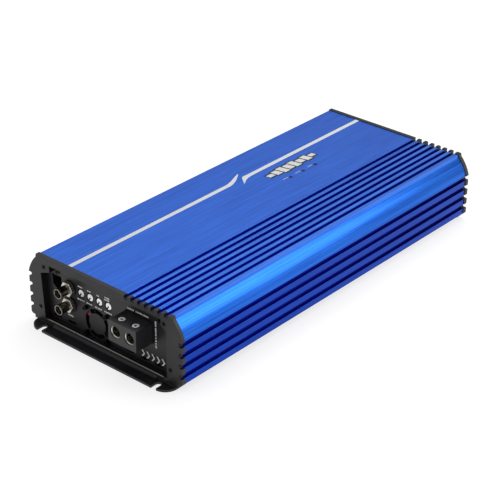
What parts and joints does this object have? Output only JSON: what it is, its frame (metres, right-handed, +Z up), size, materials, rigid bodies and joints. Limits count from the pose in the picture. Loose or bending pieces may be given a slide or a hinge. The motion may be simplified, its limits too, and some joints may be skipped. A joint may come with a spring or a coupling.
{
  "type": "car amplifier",
  "caption": "Finned aluminium car amplifier with slotted feet, recessed control panel, terminal blocks, phono jacks, trimmer shafts and a small fan.",
  "frame": {"origin": "on the floor under the middle of the body", "axes": "+X across the amplifier towards the fins, +Y along it away from the control panel, +Z up"},
  "size_m": [0.162, 0.3912, 0.061],
  "materials": {
    "blue_anodised": "brushed anodised, satin",
    "black_cast": "black powder coat",
    "black_sheet": "fine black texture",
    "black_oxide": "black oxide",
    "black_plastic": "moulded satin",
    "bright_nickel": "nickel plate",
    "dark_nickel": "black nickel plate",
    "white_insulator": "moulded",
    "pot_metal": "turned, satin",
    "zinc_steel": "zinc plate",
    "board_green": "solder mask",
    "copper": "enamelled copper",
    "ferrite": "sintered ferrite",
    "core_yellow": "coated powder core",
    "can_sleeve": "shrink sleeve",
    "smoke_lens": "dark diffusing lens",
    "led_clear": "epoxy",
    "red_pvc": "wire insulation",
    "black_pvc": "wire insulation",
    "grey_pad": "filled silicone",
    "tin_plate": "tin plate"
  },
  "bodies": {
    "chassis": {"heatsink": "blue_anodised", "front_frame": "black_cast", "rear_frame": "black_cast", "front_frame_screws": "black_oxide", "rear_frame_screws": "black_oxide", "panel_screws": "black_oxide", "bottom_cover": "black_sheet", "cover_screws": "black_oxide", "front_panel": "black_sheet", "rear_panel": "black_sheet", "speaker_block": "black_plastic", "speaker_terminals": "bright_nickel", "speaker_bus_bars": "copper", "power_block": "black_plastic", "power_terminals": "bright_nickel", "power_bus_bars": "copper", "turn_on_block": "black_plastic", "turn_on_terminal": "bright_nickel", "control_board": "board_green", "remote_socket": "black_plastic", "remote_contacts": "tin_plate", "rca_block": "black_plastic", "rca_shells": "dark_nickel", "rca_insulators": "white_insulator", "rca_contacts": "bright_nickel", "rca_nuts": "bright_nickel", "rca_washers": "black_plastic", "pot_bodies": "black_plastic", "fan_frame": "black_plastic", "fan_screws": "black_oxide", "fan_lead_red": "red_pvc", "fan_lead_black": "black_pvc", "fan_header": "white_insulator", "status_lenses": "smoke_lens", "status_leds": "led_clear", "led_board": "board_green", "led_ribbon": "white_insulator", "main_board": "board_green", "board_screws": "zinc_steel", "choke_cores": "core_yellow", "choke_windings": "copper", "transformer_core": "ferrite", "transformer_winding": "copper", "rail_capacitors": "can_sleeve", "input_capacitors": "can_sleeve", "power_transistors": "black_plastic", "thermal_pads": "grey_pad", "clamp_bars": "tin_plate", "clamp_bar_screws": "zinc_steel", "driver_chips": "black_plastic"},
    "level_pot": {"level_pot_shaft": "pot_metal"},
    "low_pass_pot": {"low_pass_pot_shaft": "pot_metal"},
    "subsonic_pot": {"subsonic_pot_shaft": "pot_metal"},
    "boost_pot": {"boost_pot_shaft": "pot_metal"},
    "fan_rotor": {"fan_rotor": "black_plastic"},
    "speaker_screw_1": {"speaker_clamp_screw_1": "bright_nickel"},
    "speaker_screw_2": {"speaker_clamp_screw_2": "bright_nickel"},
    "power_screw_1": {"power_clamp_screw_1": "bright_nickel"},
    "power_screw_2": {"power_clamp_screw_2": "bright_nickel"},
    "turn_on_screw": {"turn_on_screw": "bright_nickel"}
  },
  "joints": [
    {"name": "level_pot_turn", "type": "hinge", "parent": "chassis", "child": "level_pot", "pos_m": [-0.0291, -0.1754, 0.0394], "axis": [0, 1, 0], "range_deg": [-140, 140]},
    {"name": "low_pass_pot_turn", "type": "hinge", "parent": "chassis", "child": "low_pass_pot", "pos_m": [-0.0193, -0.1754, 0.0394], "axis": [0, 1, 0], "range_deg": [-140, 140]},
    {"name": "subsonic_pot_turn", "type": "hinge", "parent": "chassis", "child": "subsonic_pot", "pos_m": [-0.0095, -0.1754, 0.0394], "axis": [0, 1, 0], "range_deg": [-140, 140]},
    {"name": "boost_pot_turn", "type": "hinge", "parent": "chassis", "child": "boost_pot", "pos_m": [0.0003, -0.1754, 0.0394], "axis": [0, 1, 0], "range_deg": [-140, 140]},
    {"name": "fan_spin", "type": "hinge", "parent": "chassis", "child": "fan_rotor", "pos_m": [-0.0126, -0.1714, 0.01875], "axis": [0, 1, 0], "continuous": true},
    {"name": "speaker_screw_1_travel", "type": "slide", "parent": "chassis", "child": "speaker_screw_1", "axis": [0, 0, -1], "range_m": [-0.0004, 0.0065]},
    {"name": "speaker_screw_2_travel", "type": "slide", "parent": "chassis", "child": "speaker_screw_2", "axis": [0, 0, -1], "range_m": [-0.0004, 0.0065]},
    {"name": "power_screw_1_travel", "type": "slide", "parent": "chassis", "child": "power_screw_1", "axis": [0, 0, -1], "range_m": [-0.0004, 0.0065]},
    {"name": "power_screw_2_travel", "type": "slide", "parent": "chassis", "child": "power_screw_2", "axis": [0, 0, -1], "range_m": [-0.0004, 0.0065]},
    {"name": "turn_on_screw_travel", "type": "slide", "parent": "chassis", "child": "turn_on_screw", "axis": [0, 0, -1], "range_m": [-0.0004, 0.0026]}
  ]
}
